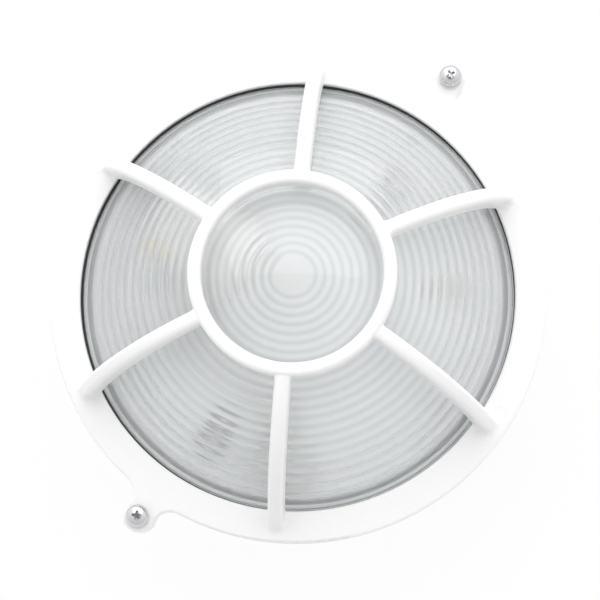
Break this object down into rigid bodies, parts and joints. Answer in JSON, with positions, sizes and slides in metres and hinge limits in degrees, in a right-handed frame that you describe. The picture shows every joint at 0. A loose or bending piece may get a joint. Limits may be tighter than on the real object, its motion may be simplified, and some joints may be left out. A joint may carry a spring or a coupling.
{
  "type": "round bulkhead light",
  "caption": "Round bulkhead light: white cast guard with a raised ring and curved ribs over a prismatic clear glass dome, on a dished base with a screw-in lampholder and a cable gland.",
  "frame": {"origin": "centre of the base's back face, on the wall", "axes": "+Z out of the wall through the glass, +X through the cable gland, +Y and -Y through the two screw ears"},
  "size_m": [0.21, 0.2418, 0.1046],
  "materials": {
    "white_casting": "satin",
    "clear_glass": "gloss",
    "black_rubber": "matte",
    "plated_steel": "polished",
    "zinc_steel": "satin",
    "porcelain": "gloss",
    "brass": "satin",
    "block_plastic": "satin",
    "lead_sleeve": "satin",
    "black_plastic": "satin"
  },
  "bodies": {
    "base": {"base_housing": "white_casting", "mounting_grommets": "black_rubber", "lampholder_bracket": "zinc_steel", "bracket_screws": "zinc_steel", "lampholder_body": "porcelain", "lampholder_shell": "brass", "lampholder_contact": "brass", "lampholder_terminals": "brass", "holder_screws": "zinc_steel", "terminal_block": "block_plastic", "terminal_inserts": "brass", "terminal_screws": "zinc_steel", "terminal_block_screw": "zinc_steel", "earth_washer": "brass", "earth_screw": "zinc_steel", "live_lead": "lead_sleeve", "neutral_lead": "lead_sleeve", "gland_washer": "black_rubber", "gland_body": "black_plastic"},
    "cover": {"guard_frame": "white_casting", "glass_lens": "clear_glass", "lens_gasket": "black_rubber"},
    "upper_washer": {"cover_screw_washer_upper": "plated_steel"},
    "upper_screw": {"cover_screw_upper": "plated_steel"},
    "lower_washer": {"cover_screw_washer_lower": "plated_steel"},
    "lower_screw": {"cover_screw_lower": "plated_steel"},
    "cable_seal": {"gland_seal": "black_rubber"},
    "gland_nut": {"gland_nut": "black_plastic"}
  },
  "joints": [
    {"name": "cover_lift", "type": "slide", "parent": "base", "child": "cover", "axis": [0, 0, 1], "range_m": [0, 0.11]},
    {"name": "upper_screw_rise", "type": "slide", "parent": "cover", "child": "upper_washer", "axis": [0, 0, 1], "range_m": [0, 0.0081]},
    {"name": "upper_screw_turn", "type": "hinge", "parent": "upper_washer", "child": "upper_screw", "pos_m": [0, 0.1144, 0.0593], "axis": [0, 0, 1], "range_deg": [0, 3600]},
    {"name": "lower_screw_rise", "type": "slide", "parent": "cover", "child": "lower_washer", "axis": [0, 0, 1], "range_m": [0, 0.0081]},
    {"name": "lower_screw_turn", "type": "hinge", "parent": "lower_washer", "child": "lower_screw", "pos_m": [0, -0.1144, 0.0593], "axis": [0, 0, 1], "range_deg": [0, 3600]},
    {"name": "seal_slide", "type": "slide", "parent": "base", "child": "cable_seal", "axis": [1, 0, 0], "range_m": [0, 0.0031]},
    {"name": "gland_nut_turn", "type": "hinge", "parent": "cable_seal", "child": "gland_nut", "pos_m": [0.0985, 0, 0.022], "axis": [1, 0, 0], "range_deg": [0, 720]}
  ],
  "couplings": [
    {"joint": "upper_screw_rise", "follows": "upper_screw_turn", "m_per_rad": 0.00012732},
    {"joint": "lower_screw_rise", "follows": "lower_screw_turn", "m_per_rad": 0.00012732},
    {"joint": "seal_slide", "follows": "gland_nut_turn", "m_per_rad": 0.00023873}
  ]
}
